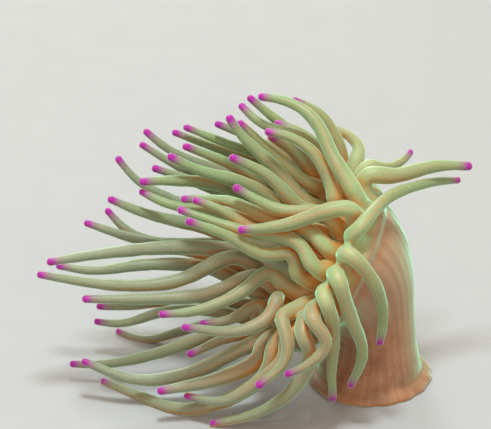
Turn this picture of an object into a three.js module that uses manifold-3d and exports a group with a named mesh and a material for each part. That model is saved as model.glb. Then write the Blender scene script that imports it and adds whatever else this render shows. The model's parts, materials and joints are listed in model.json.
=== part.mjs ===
// A giant Caribbean sea anemone, Condylactis gigantea, life size, in millimetres with +Z up.
//
// The animal stands on its pedal disc, whose centre is the origin. The column bends over so that
// the crown faces -X, and a current from +X streams nearly all the tentacles to -X.
// Nodes: pedal_disc, column, oral_disc (with the first length of every tentacle growing from it),
// mouth, and the free length of each tentacle as tentacle_rim_NN, tentacle_mid_NN and
// tentacle_heart_NN.

import * as THREE from 'three';
import { mergeVertices } from 'three/addons/utils/BufferGeometryUtils.js';
import Module from 'manifold-3d';

const wasm = await Module();
wasm.setup();

// ---------------------------------------------------------------- driving dimensions
const GAP = 0.3; // space between two pieces that meet

const FOOT_RADIUS = 39;
const FOOT_EDGE = 1.6; // height of the foot's outer edge
const FOOT_HEIGHT = 5;
const FOOT_TOP_RADIUS = 33;
const FOOT_BEVEL = 1.2; // how much the foot is drawn in under its edge and below its top

const WAIST_RADIUS = 26.5;
const WAIST_START = 0.3; // share of the column's height at which the waist is reached
const COLUMN_BASE_RADIUS = 31.5;
const COLUMN_TOP_RADIUS = 51;
const FLARE_START = 0.4; // share of the column's height at which the flare begins
const FLARE_POWER = 1.9;
const COLUMN_AIM = new THREE.Vector3(4, 0, 30); // the column leaves the foot towards this point
const COLUMN_NECK = 20; // and comes to the crown along the last of this length of its axis
const COLUMN_RINGS = 9;
const COLUMN_SIDES = 22;

const CROWN_CENTRE = new THREE.Vector3(-29.5, 0, 80); // middle of the oral disc's upper face
const CROWN_LEAN = THREE.MathUtils.degToRad(60); // how far the crown tips from +Z towards -X
const DISC_RADIUS = 56.5;
const DISC_FLAT_RADIUS = 43; // the upper face is flat to here and falls to the margin beyond
const DISC_THICKNESS = 15;
const DISC_UNDER_RADIUS = 52; // where the underside turns up to the margin
const DISC_SIDES = 26;

const LIPS_LONG = 13; // half length and half width of the ring of lips, to the middle of the lip
const LIPS_SHORT = 8;
const LIP_RADIUS = 2.8; // half the width of a lip
const LIP_HEIGHT = 4.2;
const LIP_SIDES = 6;
const LIPS_SIDES = 14;

const ROOT_RADIUS = 6.4; // every tentacle where it leaves the disc
const FULL_RADIUS = 4.9; // a tentacle of girth 1 along its middle
const TIP_RADIUS = 2.15; // the same tentacle just behind its rounded tip
const ROOT_TAPER = 36; // length over which a root narrows to the full radius
const TAPER_START = 0.3; // share of a tentacle's length from which it narrows to its tip
const TAPER_POWER = 1.6; // over 1 keeps the narrowing for the outer part of the length
const ROOT_DEPTH = 4; // how far a root is carried into the disc before the two are joined
const STUB_LENGTH = 12; // first length of a tentacle, joined to the disc
const TUBE_SIDES = 6;
const TUBE_RINGS = 9;
const SECTION_SWELL = 1.05; // a six-sided section this much larger has the round one's area
const BEND_WEIGHT = 0.6; // how much closer together the rings stand where a tentacle bends
const BEND_SAMPLES = 200;
const CURVE_DIVISIONS = 400; // how finely a settled tentacle's length is measured
// The last two rings before the tip: how far back from it and how wide, in tip radii.
const SHOULDER = { back: 0.75, width: 1 };
const NOSE = { back: 0.2, width: 0.62 };
const POLE_HEIGHT = 0.05; // the least height of the very end of a tip over the floor

const FLAT_DEPTH = 0.7; // a tentacle that lies on the floor is flattened by this much

// ---------------------------------------------------------------- axes
// Places along the tentacles are written as across, rise and near. Across is +X. Rise and near
// are +Z and -Y turned back by the slope that the animal leans over.
const SLOPE = THREE.MathUtils.degToRad(30);
const ACROSS = new THREE.Vector3(1, 0, 0);
const RISE = new THREE.Vector3(0, Math.sin(SLOPE), Math.cos(SLOPE));
const NEAR = new THREE.Vector3(0, -Math.cos(SLOPE), Math.sin(SLOPE));

// The crown's own axes: its axis, and the up and far directions in the plane of the disc.
const CROWN_AXIS = new THREE.Vector3(-Math.sin(CROWN_LEAN), 0, Math.cos(CROWN_LEAN));
const CROWN_UP = new THREE.Vector3(Math.cos(CROWN_LEAN), 0, Math.sin(CROWN_LEAN));
const CROWN_FAR = new THREE.Vector3(0, 1, 0);

// ---------------------------------------------------------------- the crown of tentacles
// Three rings of roots. A root's place counts round its ring from the top towards the far side,
// and splay is the angle between the crown's axis and the direction in which a tentacle leaves.
const RINGS = {
  rim: { radius: 49.5, places: 27, turn: 0, splay: 45, sunk: 2.2 },
  mid: { radius: 37.5, places: 18, turn: 0.5, splay: 25, sunk: 0 },
  heart: { radius: 26, places: 12, turn: 0, splay: 10, sunk: 0 },
};

// One row for each tentacle: its root, its girth, how near its tip comes, and the bends of its
// path as [across, rise], the last being the tip. A row may have a splay of its own.
const TENTACLES = [
  // from the upper rim: the fan that stands up, and two that turn back over the column
  { ring: 'rim', place: 0, girth: 1.05, depth: 58, path: [[14, 118], [40, 125], [61, 125]], splay: 80 },
  { ring: 'rim', place: 1, girth: 0.72, depth: 30, path: [[10, 125], [20, 130], [25, 136]], splay: 80 },
  { ring: 'rim', place: 2, girth: 0.85, depth: 28, path: [[-7, 136], [-16, 145], [-29, 149]], splay: 60 },
  { ring: 'rim', place: 3, girth: 0.95, depth: 45, path: [[-17, 136], [-28, 157], [-47, 167]] },
  { ring: 'rim', place: 4, girth: 0.85, depth: 28, path: [[-32, 137], [-57, 155], [-74, 169]] },
  // from the far rim: streaming behind the others
  { ring: 'rim', place: 5, girth: 0.75, depth: 18, path: [[-47, 131], [-70, 143], [-94, 153]] },
  { ring: 'rim', place: 6, girth: 0.75, depth: 12, path: [[-49, 127], [-85, 140], [-113, 151]] },
  { ring: 'rim', place: 7, girth: 0.75, depth: 4, path: [[-55, 123], [-91, 137], [-120, 148]] },
  { ring: 'rim', place: 8, girth: 0.85, depth: 10, path: [[-61, 112], [-97, 126], [-121, 136], [-137, 149]] },
  { ring: 'rim', place: 9, girth: 0.75, depth: -8, path: [[-70, 103], [-112, 124], [-140, 141]] },
  { ring: 'rim', place: 10, girth: 0.8, depth: -5, path: [[-79, 91], [-118, 106], [-142, 118], [-154, 133]] },
  { ring: 'rim', place: 11, girth: 0.75, depth: -70, path: [[-76, 39], [-115, 26], [-137, 20], [-155, 26]] },
  { ring: 'rim', place: 12, girth: 0.8, depth: 0, path: [[-82, 43], [-119, 44], [-143, 40], [-166, 40]] },
  { ring: 'rim', place: 13, girth: 0.8, depth: -8, path: [[-88, 39], [-122, 41], [-151, 32], [-168, 34]] },
  // from the lower rim: the long ones that sweep out close to the floor
  { ring: 'rim', place: 14, girth: 0.85, depth: 14, path: [[-94, 25], [-123, 15], [-157, 7], [-182, 7]] },
  { ring: 'rim', place: 15, girth: 0.95, depth: 38, path: [[-79, 17], [-107, 3], [-142, -2], [-174, 10]] },
  { ring: 'rim', place: 16, girth: 1.08, depth: 58, path: [[-65, 11], [-89, -1], [-128, -9]] },
  {
    ring: 'rim',
    place: 17,
    girth: 0.9,
    depth: -30,
    path: [[-59, 8], [-79, -10], [-112, -20], [-136, -13], [-163, -3]],
  },
  {
    ring: 'rim',
    place: 18,
    girth: 0.85,
    depth: 54,
    path: [[-49, 15], [-64, 1], [-88, -14], [-112, -10]],
    splay: 65,
  },
  {
    ring: 'rim',
    place: 19,
    girth: 0.9,
    depth: 20,
    path: [[-35, 15], [-47, -8], [-70, -22], [-97, -28]],
    splay: 85,
  },
  // from the near rim: drooping in front of the column, and the foremost at its top
  { ring: 'rim', place: 20, girth: 0.85, depth: 82, path: [[-26, 22], [-38, 10], [-53, 4]], splay: 85 },
  { ring: 'rim', place: 21, girth: 0.85, depth: 62, path: [[-22, 31], [-24, 4], [-23, -14]], splay: 85 },
  { ring: 'rim', place: 22, girth: 0.9, depth: 62, path: [[-13, 39], [-5, 16], [-13, -5]], splay: 85 },
  { ring: 'rim', place: 23, girth: 0.9, depth: 70, path: [[-1, 60], [6, 40], [4, 20]], splay: 85 },
  { ring: 'rim', place: 24, girth: 0.8, depth: 44, path: [[10, 109], [32, 118], [53, 120]], splay: 85 },
  { ring: 'rim', place: 25, girth: 1, depth: 88, path: [[-29, 99], [-52, 91], [-80, 88]] },
  { ring: 'rim', place: 26, girth: 0.95, depth: 62, path: [[-23, 130], [-34, 154], [-50, 165], [-68, 168]] },
  // the middle ring
  { ring: 'mid', place: 0, girth: 0.85, depth: 46, path: [[-26, 130], [-41, 144], [-65, 151], [-79, 164]] },
  { ring: 'mid', place: 1, girth: 0.8, depth: 38, path: [[-28, 133], [-40, 146], [-58, 153]] },
  { ring: 'mid', place: 2, girth: 0.9, depth: 44, path: [[-37, 116], [-56, 133], [-79, 155]] },
  { ring: 'mid', place: 3, girth: 1.1, depth: 40, path: [[-33, 116], [-46, 133], [-63, 143]] },
  { ring: 'mid', place: 4, girth: 0.9, depth: 44, path: [[-59, 112], [-83, 127], [-113, 139]] },
  { ring: 'mid', place: 5, girth: 0.85, depth: 22, path: [[-65, 97], [-100, 115], [-132, 126]] },
  { ring: 'mid', place: 6, girth: 0.85, depth: 16, path: [[-83, 79], [-127, 80], [-146, 86], [-160, 101]] },
  { ring: 'mid', place: 7, girth: 0.85, depth: 22, path: [[-91, 71], [-140, 82], [-173, 93]] },
  { ring: 'mid', place: 8, girth: 0.9, depth: 22, path: [[-94, 65], [-142, 67], [-166, 63], [-190, 67]] },
  { ring: 'mid', place: 9, girth: 0.85, depth: 34, path: [[-65, 25], [-86, 20], [-109, 11]] },
  { ring: 'mid', place: 10, girth: 0.85, depth: 48, path: [[-65, 44], [-85, 34], [-103, 32]] },
  { ring: 'mid', place: 11, girth: 0.9, depth: 84, path: [[-54, 53], [-59, 37], [-79, 28], [-113, 31]] },
  { ring: 'mid', place: 12, girth: 0.9, depth: 84, path: [[-38, 32], [-43, 13], [-64, -4]], splay: 60 },
  { ring: 'mid', place: 14, girth: 0.85, depth: 76, path: [[-43, 81], [-73, 86], [-116, 100]] },
  { ring: 'mid', place: 15, girth: 0.9, depth: 66, path: [[-37, 91], [-58, 95], [-83, 106], [-114, 107]] },
  { ring: 'mid', place: 16, girth: 0.9, depth: 80, path: [[-29, 97], [-53, 96], [-83, 112]] },
  { ring: 'mid', place: 17, girth: 0.85, depth: 70, path: [[-23, 112], [-34, 134], [-49, 144], [-64, 147]] },
  // the inner ring
  { ring: 'heart', place: 0, girth: 0.95, depth: 72, path: [[-41, 100], [-62, 121], [-85, 132]] },
  { ring: 'heart', place: 1, girth: 1, depth: 58, path: [[-38, 103], [-59, 127], [-79, 146], [-86, 157]] },
  { ring: 'heart', place: 2, girth: 1, depth: 56, path: [[-47, 98], [-73, 115], [-104, 124], [-122, 133]] },
  {
    ring: 'heart',
    place: 3,
    girth: 1.05,
    depth: 54,
    path: [[-52, 98], [-88, 115], [-118, 118], [-139, 117]],
  },
  { ring: 'heart', place: 4, girth: 0.95, depth: 46, path: [[-64, 76], [-100, 89], [-134, 97], [-158, 107]] },
  { ring: 'heart', place: 5, girth: 1, depth: 60, path: [[-79, 76], [-124, 78], [-163, 74], [-194, 69]] },
  { ring: 'heart', place: 6, girth: 0.95, depth: 58, path: [[-79, 75], [-113, 58], [-154, 55], [-200, 62]] },
  { ring: 'heart', place: 7, girth: 0.95, depth: 60, path: [[-65, 63], [-94, 50], [-136, 47], [-173, 47]] },
  { ring: 'heart', place: 8, girth: 0.9, depth: 74, path: [[-61, 65], [-76, 52], [-104, 40], [-127, 38]] },
  { ring: 'heart', place: 9, girth: 0.88, depth: 88, path: [[-45, 78], [-64, 75], [-82, 86], [-110, 96]] },
  { ring: 'heart', place: 10, girth: 0.88, depth: 72, path: [[-52, 82], [-73, 89], [-88, 100], [-107, 107]] },
  { ring: 'heart', place: 11, girth: 0.9, depth: 48, path: [[-43, 89], [-88, 98], [-124, 104], [-139, 112]] },
];

// ---------------------------------------------------------------- settling the tentacles
const STATIONS = 30; // points along each centreline while the tentacles settle
const ROUNDS = 300; // how often overlaps are eased
const WATCH_ROUNDS = 10; // the pairs that are close are looked for again after so many rounds
const WATCH_MARGIN = 8;
const CLEARANCE = 1.6; // space aimed at between two tentacles, and to the body
const SIDE_SHARE = 0.3; // how much of a push goes sideways rather than nearer or farther
const PUSH_RATE = 0.45; // share of a lack that one round makes good
const BODY_RATE = 0.4;
const LEAST_NEAR = 0.5; // a push always has this much of near in it
const HELD_LENGTH = 9.6; // settling doesn't move a centreline this close to its start
const FREED_LENGTH = 32; // and moves it freely from here on
const ROUNDING_PASSES = 5; // how much the corners of the drawn paths are rounded

// ---------------------------------------------------------------- small helpers
function along(origin, direction, distance) {
  return origin.clone().addScaledVector(direction, distance);
}

function mix(a, b, t) {
  return a + (b - a) * t;
}

function smoothstep(edge0, edge1, x) {
  const t = Math.min(1, Math.max(0, (x - edge0) / (edge1 - edge0)));
  return t * t * (3 - 2 * t);
}

function fromFlow(across, rise, near) {
  return new THREE.Vector3()
    .addScaledVector(ACROSS, across)
    .addScaledVector(RISE, rise)
    .addScaledVector(NEAR, near);
}

// ---------------------------------------------------------------- tentacle centrelines
function rootOf(row) {
  const ring = RINGS[row.ring];
  const angle = (2 * Math.PI * (row.place + ring.turn)) / ring.places;
  const outward = CROWN_UP.clone()
    .multiplyScalar(Math.cos(angle))
    .addScaledVector(CROWN_FAR, Math.sin(angle));
  const point = along(along(CROWN_CENTRE, outward, ring.radius), CROWN_AXIS, -ring.sunk);
  return { point, outward, splay: THREE.MathUtils.degToRad(row.splay ?? ring.splay) };
}

// The centreline starts inside the disc, leaves it turning outwards by the splay, and then runs
// through the row's bends while it changes evenly from the root's nearness to the tip's.
function centreline(row) {
  const { point, outward, splay } = rootOf(row);
  const leave = CROWN_AXIS.clone().multiplyScalar(Math.cos(splay)).addScaledVector(outward, Math.sin(splay));
  const halfway = CROWN_AXIS.clone().add(leave).normalize();
  const knee = along(point, halfway, STUB_LENGTH / 2);
  const stubEnd = along(knee, leave, STUB_LENGTH);
  const points = [along(point, CROWN_AXIS, -ROOT_DEPTH), point, knee, stubEnd];

  const start = [stubEnd.dot(ACROSS), stubEnd.dot(RISE)];
  const flat = [start, ...row.path];
  const reach = [0];
  for (let i = 1; i < flat.length; i += 1) {
    reach.push(reach[i - 1] + Math.hypot(flat[i][0] - flat[i - 1][0], flat[i][1] - flat[i - 1][1]));
  }
  const startNear = stubEnd.dot(NEAR);
  for (let i = 1; i < flat.length; i += 1) {
    const share = reach[i] / reach[reach.length - 1];
    points.push(fromFlow(flat[i][0], flat[i][1], mix(startNear, row.depth, share)));
  }
  return new THREE.CatmullRomCurve3(points, false, 'centripetal');
}

// Radius at a distance from the root, for a tentacle of the given girth and length.
function radiusAt(distance, length, girth) {
  const body = FULL_RADIUS * girth;
  const tip = TIP_RADIUS * Math.sqrt(girth);
  const rooted = mix(ROOT_RADIUS, body, smoothstep(0, ROOT_TAPER, distance));
  const beyond = Math.max(0, distance / length - TAPER_START) / (1 - TAPER_START);
  return mix(rooted, tip, beyond ** TAPER_POWER);
}

// Rounds the corners of a line of points where it is free, and leaves its tip.
function roundCorners(points, free) {
  for (let pass = 0; pass < ROUNDING_PASSES; pass += 1) {
    const old = points.map((point) => point.clone());
    for (let i = 1; i < points.length - 1; i += 1) {
      const middle = old[i - 1].clone().add(old[i + 1]).multiplyScalar(0.5);
      points[i].lerp(middle, 0.5 * free[i]);
    }
  }
}

function layOut(row) {
  const curve = centreline(row);
  const length = curve.getLength();
  const points = curve.getSpacedPoints(STATIONS - 1);
  const distances = points.map((_, i) => (length * i) / (STATIONS - 1));
  const radii = distances.map((distance) => radiusAt(distance, length, row.girth));
  const free = distances.map((distance) => smoothstep(HELD_LENGTH, FREED_LENGTH, distance));
  roundCorners(points, free);
  return { row, points, radii, free };
}

// ---------------------------------------------------------------- column
const COLUMN_TOP = along(CROWN_CENTRE, CROWN_AXIS, -(DISC_THICKNESS + GAP));
const COLUMN_AXIS = new THREE.CubicBezierCurve3(
  new THREE.Vector3(0, 0, FOOT_HEIGHT + GAP),
  COLUMN_AIM,
  along(COLUMN_TOP, CROWN_AXIS, -COLUMN_NECK),
  COLUMN_TOP,
);

// The column narrows from its base to the waist and flares to the margin of the crown.
function columnRadius(t) {
  const base = mix(COLUMN_BASE_RADIUS, WAIST_RADIUS, smoothstep(0, WAIST_START, t));
  if (t < FLARE_START) return base;
  return mix(base, COLUMN_TOP_RADIUS, ((t - FLARE_START) / (1 - FLARE_START)) ** FLARE_POWER);
}

const COLUMN_STOP_COUNT = 24;
const COLUMN_STOP_SPACING = COLUMN_AXIS.getLength() / COLUMN_STOP_COUNT;
const COLUMN_STOPS = Array.from({ length: COLUMN_STOP_COUNT + 1 }, (_, k) => {
  const t = k / COLUMN_STOP_COUNT;
  return { point: COLUMN_AXIS.getPoint(t), tangent: COLUMN_AXIS.getTangent(t), radius: columnRadius(t) };
});

// ---------------------------------------------------------------- settling
// The stations of all the tentacles, each with its home and how far it has been shifted from it.
function stationsOf(lines) {
  return lines.flatMap((line, owner) => line.points.map((point, i) => ({
    owner,
    point,
    home: point.clone(),
    radius: line.radii[i],
    free: line.free[i],
    isLast: i === STATIONS - 1,
    push: new THREE.Vector3(),
    shift: new THREE.Vector3(),
  })));
}

// Pairs of stations of different tentacles that could come too close in the next few rounds.
function closePairs(stations) {
  const pairs = [];
  for (let a = 0; a < stations.length; a += 1) {
    for (let b = a + 1; b < stations.length; b += 1) {
      const first = stations[a];
      const second = stations[b];
      const watch = first.radius + second.radius + CLEARANCE + WATCH_MARGIN;
      if (first.owner === second.owner) continue;
      if (first.point.distanceToSquared(second.point) < watch * watch) pairs.push([first, second]);
    }
  }
  return pairs;
}

// Two tentacles that are too close move apart, mostly along near.
function easeApart(first, second) {
  const apart = first.point.clone().sub(second.point);
  const lack = first.radius + second.radius + CLEARANCE - apart.length();
  if (lack <= 0) return;
  const near = apart.dot(NEAR);
  const nearPart = Math.abs(near) < LEAST_NEAR ? Math.sign(near || 1) * LEAST_NEAR : near;
  apart
    .addScaledVector(NEAR, -near)
    .multiplyScalar(SIDE_SHARE)
    .addScaledVector(NEAR, nearPart)
    .normalize();
  first.push.addScaledVector(apart, lack * PUSH_RATE);
  second.push.addScaledVector(apart, -lack * PUSH_RATE);
}

// A station beside the column moves straight out from the column's axis.
function easeOffColumn(station) {
  for (const stop of COLUMN_STOPS) {
    const apart = station.point.clone().sub(stop.point);
    const axial = apart.dot(stop.tangent);
    if (Math.abs(axial) > COLUMN_STOP_SPACING) continue;
    apart.addScaledVector(stop.tangent, -axial);
    const lack = stop.radius + station.radius + CLEARANCE - apart.length();
    if (lack > 0) station.push.addScaledVector(apart.normalize(), lack * BODY_RATE);
  }
}

// A station low down beside the foot moves away over the floor.
function easeOffFoot(station) {
  const keep = station.radius + CLEARANCE;
  const reach = Math.hypot(station.point.x, station.point.y);
  const lack = FOOT_RADIUS + keep - reach;
  if (lack <= 0 || station.point.z > FOOT_HEIGHT + keep) return;
  station.push.x += (station.point.x / reach) * lack * BODY_RATE;
  station.push.y += (station.point.y / reach) * lack * BODY_RATE;
}

// A station at the margin of the oral disc moves outwards beside it and forwards above it.
function easeOffDisc(station) {
  const outward = station.point.clone().sub(CROWN_CENTRE);
  const height = outward.dot(CROWN_AXIS);
  outward.addScaledVector(CROWN_AXIS, -height);
  const keep = station.radius + CLEARANCE;
  const lack = DISC_RADIUS + keep - outward.length();
  if (lack <= 0 || height > keep || height < -(DISC_THICKNESS + keep)) return;
  if (height > 0) station.push.addScaledVector(CROWN_AXIS, (keep - height) * BODY_RATE);
  else station.push.addScaledVector(outward.normalize(), lack * BODY_RATE);
}

// The shifts along a tentacle are evened out, so that it keeps its curve and gets no kinks.
function evenOutShifts(stations) {
  const old = stations.map((station) => station.shift.clone());
  stations.forEach((station, a) => {
    if (station.free === 0) return;
    const after = station.isLast ? old[a] : old[a + 1];
    station.shift.multiplyScalar(0.5).addScaledVector(old[a - 1], 0.25).addScaledVector(after, 0.25);
  });
}

// No station is lower than a tentacle lying on the floor: it comes nearer until it lies there.
function raiseToFloor(station) {
  const lack = station.radius - FLAT_DEPTH - station.point.z;
  if (lack > 0) station.point.addScaledVector(NEAR, lack / NEAR.z);
}

function settle(lines) {
  const stations = stationsOf(lines);
  let pairs = [];
  for (let round = 0; round < ROUNDS; round += 1) {
    if (round % WATCH_ROUNDS === 0) pairs = closePairs(stations);
    for (const [first, second] of pairs) easeApart(first, second);
    for (const station of stations) {
      easeOffColumn(station);
      easeOffFoot(station);
      easeOffDisc(station);
      station.shift.addScaledVector(station.push, station.free);
      station.push.set(0, 0, 0);
    }
    evenOutShifts(stations);
    for (const station of stations) {
      station.point.addVectors(station.home, station.shift);
      raiseToFloor(station);
      station.shift.subVectors(station.point, station.home);
    }
  }
  return lines;
}

// ---------------------------------------------------------------- lofting
// A closed body through rings of points, all with the same number of points, and a flat or
// pointed end at each side.
function loft(rings, pole) {
  const sides = rings[0].length;
  const positions = rings.flat().flatMap((p) => [p.x, p.y, p.z]);
  const index = [];
  for (let k = 0; k < rings.length - 1; k += 1) {
    for (let s = 0; s < sides; s += 1) {
      const a = k * sides + s;
      const b = k * sides + ((s + 1) % sides);
      index.push(a, b, b + sides, a, b + sides, a + sides);
    }
  }
  for (let s = 1; s < sides - 1; s += 1) index.push(0, s + 1, s);
  const last = (rings.length - 1) * sides;
  if (pole) {
    positions.push(pole.x, pole.y, pole.z);
    const top = rings.length * sides;
    for (let s = 0; s < sides; s += 1) index.push(last + s, last + ((s + 1) % sides), top);
  } else {
    for (let s = 1; s < sides - 1; s += 1) index.push(last, last + s, last + s + 1);
  }
  const geometry = new THREE.BufferGeometry();
  geometry.setAttribute('position', new THREE.Float32BufferAttribute(positions, 3));
  geometry.setIndex(index);
  return geometry;
}

// Rings round a centreline, each turned from the one before by the smallest turn.
function tubeRings(centres, tangents, radii, sides, firstNormal) {
  const normal = firstNormal.clone();
  return centres.map((centre, k) => {
    normal.addScaledVector(tangents[k], -normal.dot(tangents[k])).normalize();
    const binormal = new THREE.Vector3().crossVectors(tangents[k], normal);
    return Array.from({ length: sides }, (_, s) => {
      const angle = (2 * Math.PI * s) / sides;
      const point = centre
        .clone()
        .addScaledVector(normal, Math.cos(angle) * radii[k])
        .addScaledVector(binormal, Math.sin(angle) * radii[k]);
      point.z = Math.max(0, point.z);
      return point;
    });
  });
}

// Parameters between two ends of a curve, closer together where it bends.
function bendSpacing(curve, from, to, count) {
  const weight = [0];
  let before = curve.getTangentAt(from);
  for (let i = 1; i <= BEND_SAMPLES; i += 1) {
    const tangent = curve.getTangentAt(mix(from, to, i / BEND_SAMPLES));
    const turn = before.angleTo(tangent);
    weight.push(weight[i - 1] + 1 / BEND_SAMPLES + turn * BEND_WEIGHT);
    before = tangent;
  }
  const total = weight[BEND_SAMPLES];
  const stops = [];
  let i = 0;
  for (let k = 0; k < count; k += 1) {
    const goal = (total * k) / (count - 1);
    while (i < BEND_SAMPLES - 1 && weight[i + 1] < goal) i += 1;
    const share = (goal - weight[i]) / (weight[i + 1] - weight[i]);
    stops.push(mix(from, to, Math.min(1, (i + share) / BEND_SAMPLES)));
  }
  return stops;
}

function settledTube(line) {
  const curve = new THREE.CatmullRomCurve3(line.points, false, 'centripetal');
  curve.arcLengthDivisions = CURVE_DIVISIONS;
  const length = curve.getLength();
  const tipRadius = SECTION_SWELL * radiusAt(length, length, line.row.girth);
  const shoulder = 1 - (SHOULDER.back * tipRadius) / length;
  const nose = 1 - (NOSE.back * tipRadius) / length;
  const radius = (u) => {
    const plain = SECTION_SWELL * radiusAt(u * length, length, line.row.girth);
    return plain * mix(SHOULDER.width, NOSE.width, smoothstep(shoulder, nose, u));
  };
  const cut = (ROOT_DEPTH + STUB_LENGTH) / length;
  return { curve, length, radius, cut, shoulder, nose };
}

function ringsAt(tube, stops) {
  const centres = stops.map((u) => tube.curve.getPointAt(u));
  const tangents = stops.map((u) => tube.curve.getTangentAt(u));
  return tubeRings(centres, tangents, stops.map(tube.radius), TUBE_SIDES, RISE);
}

// The free length: from just beyond the stub to a rounded tip.
function freeLength(line) {
  const tube = settledTube(line);
  const from = tube.cut + GAP / tube.length;
  const stops = [...bendSpacing(tube.curve, from, tube.shoulder, TUBE_RINGS - 1), tube.nose];
  const pole = tube.curve.getPointAt(1);
  pole.z = Math.max(POLE_HEIGHT, pole.z);
  return loft(ringsAt(tube, stops), pole);
}

function stub(line) {
  const tube = settledTube(line);
  return loft(ringsAt(tube, [0, tube.cut]), null);
}

// ---------------------------------------------------------------- booleans
function toSolid(geometry) {
  const bare = new THREE.BufferGeometry();
  bare.setAttribute('position', geometry.getAttribute('position'));
  if (geometry.index) bare.setIndex(geometry.index);
  const merged = mergeVertices(bare, 1e-4);
  return new wasm.Manifold(new wasm.Mesh({
    numProp: 3,
    vertProperties: new Float32Array(merged.getAttribute('position').array),
    triVerts: new Uint32Array(merged.index.array),
  }));
}

function toGeometry(solid) {
  const mesh = solid.getMesh();
  const geometry = new THREE.BufferGeometry();
  geometry.setAttribute('position', new THREE.BufferAttribute(new Float32Array(mesh.vertProperties), 3));
  geometry.setIndex(new THREE.BufferAttribute(new Uint32Array(mesh.triVerts), 1));
  return geometry;
}

// ---------------------------------------------------------------- body pieces
// A profile turned about +Z is stood on the crown's axis, with +X towards the crown's up.
function onCrown(geometry) {
  const basis = new THREE.Matrix4().makeBasis(CROWN_UP, CROWN_FAR, CROWN_AXIS);
  basis.setPosition(CROWN_CENTRE);
  return geometry.applyMatrix4(basis);
}

function turned(profile, sides) {
  const points = profile.map(([radius, height]) => new THREE.Vector2(radius, height));
  return new THREE.LatheGeometry(points, sides).rotateX(Math.PI / 2);
}

function pedalDisc() {
  return turned([
    [0, 0],
    [FOOT_RADIUS - FOOT_BEVEL, 0],
    [FOOT_RADIUS, FOOT_EDGE],
    [(FOOT_RADIUS + FOOT_TOP_RADIUS) / 2, FOOT_HEIGHT - FOOT_BEVEL],
    [FOOT_TOP_RADIUS, FOOT_HEIGHT],
    [0, FOOT_HEIGHT],
  ], DISC_SIDES);
}

function column() {
  const stops = Array.from({ length: COLUMN_RINGS }, (_, k) => k / (COLUMN_RINGS - 1));
  const centres = stops.map((t) => COLUMN_AXIS.getPoint(t));
  const tangents = stops.map((t) => COLUMN_AXIS.getTangent(t));
  tangents[0].set(0, 0, 1);
  return loft(tubeRings(centres, tangents, stops.map(columnRadius), COLUMN_SIDES, ACROSS), null);
}

// The disc's underside, its blunt margin and its face, which falls off towards the margin.
function oralDisc(lines) {
  const plate = onCrown(turned([
    [0, -DISC_THICKNESS],
    [DISC_UNDER_RADIUS, -DISC_THICKNESS],
    [DISC_RADIUS - 0.6, -DISC_THICKNESS * 0.72],
    [DISC_RADIUS, -DISC_THICKNESS * 0.5],
    [DISC_RADIUS - 2.2, -DISC_THICKNESS * 0.3],
    [(DISC_RADIUS + DISC_FLAT_RADIUS) / 2, -DISC_THICKNESS * 0.12],
    [DISC_FLAT_RADIUS, 0],
    [0, 0],
  ], DISC_SIDES));
  let solid = toSolid(plate);
  for (const line of lines) solid = solid.add(toSolid(stub(line)));
  return toGeometry(solid);
}

// The ring of lips round the slit of the mouth, a torus drawn out along the crown's up.
function mouth() {
  const ringRadius = 2;
  const ring = new THREE.TorusGeometry(ringRadius, 1, LIP_SIDES, LIPS_SIDES);
  const place = ring.getAttribute('position');
  for (let i = 0; i < place.count; i += 1) {
    const angle = Math.atan2(place.getY(i), place.getX(i));
    const outward = Math.hypot(place.getX(i), place.getY(i)) - ringRadius;
    place.setXYZ(
      i,
      Math.cos(angle) * (LIPS_LONG + outward * LIP_RADIUS),
      Math.sin(angle) * (LIPS_SHORT + outward * LIP_RADIUS),
      GAP + LIP_HEIGHT / 2 + place.getZ(i) * (LIP_HEIGHT / 2),
    );
  }
  return toGeometry(toSolid(onCrown(ring)));
}

// ---------------------------------------------------------------- assembly
const FLESH = { tentacle: 0x9da57c, disc: 0xb7ac7a, lips: 0xc9a98a, column: 0xb98560 };

function piece(name, geometry, colour) {
  const material = new THREE.MeshStandardMaterial({ color: colour, roughness: 0.35, metalness: 0 });
  const mesh = new THREE.Mesh(geometry, material);
  mesh.name = name;
  return mesh;
}

function tentacleName({ ring, place }) {
  return `tentacle_${ring}_${String(place).padStart(2, '0')}`;
}

const lines = settle(TENTACLES.map(layOut));
const anemone = new THREE.Group();
anemone.add(piece('pedal_disc', pedalDisc(), FLESH.column));
anemone.add(piece('column', column(), FLESH.column));
anemone.add(piece('oral_disc', oralDisc(lines), FLESH.disc));
anemone.add(piece('mouth', mouth(), FLESH.lips));
for (const line of lines) {
  anemone.add(piece(tentacleName(line.row), freeLength(line), FLESH.tentacle));
}

export default anemone;
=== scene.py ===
"""A giant Caribbean sea anemone, Condylactis gigantea, as a life-size model.

One skin stands for all of its flesh: the pedal disc, the column, the oral disc with its lips, and
the crown of tentacles. Lengths are in millimetres until the meshes are made, in the frame of the
CAD model: +Z up, the pedal disc's centre at the origin, the crown facing -X.
"""

import json
import math

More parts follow.
